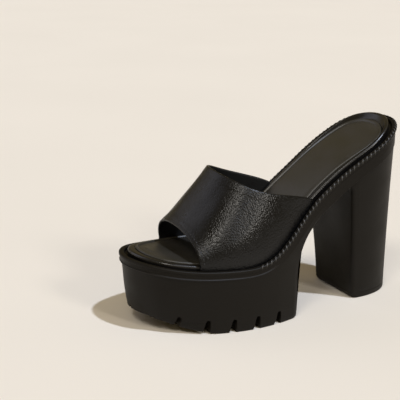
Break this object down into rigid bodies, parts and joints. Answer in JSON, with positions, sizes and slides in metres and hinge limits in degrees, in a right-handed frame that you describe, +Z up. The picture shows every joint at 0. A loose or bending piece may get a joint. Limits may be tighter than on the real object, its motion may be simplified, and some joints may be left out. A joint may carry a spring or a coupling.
{
  "type": "platform mule shoe",
  "caption": "Open-toe platform mule with a wide vamp band, ribbed lug platform, curved waist and chunky block heel.",
  "frame": {"origin": "middle of the shoe's footprint, on the floor that the tread stands on", "axes": "+Z up, -Y towards the toe, +X towards the outer side of a left foot"},
  "size_m": [0.0938, 0.2218, 0.1379],
  "materials": {
    "moulded_sole": "matte moulded polyurethane, satin on the rim",
    "footbed_wrap": "smooth glossy rolled edge",
    "sock": "matte padded inner sock",
    "upper_leather": "semi-gloss fine grain nappa look"
  },
  "bodies": {
    "root": {"sole_unit": "moulded_sole", "footbed": "footbed_wrap", "sock_lining": "sock", "upper_band": "upper_leather"}
  },
  "joints": []
}
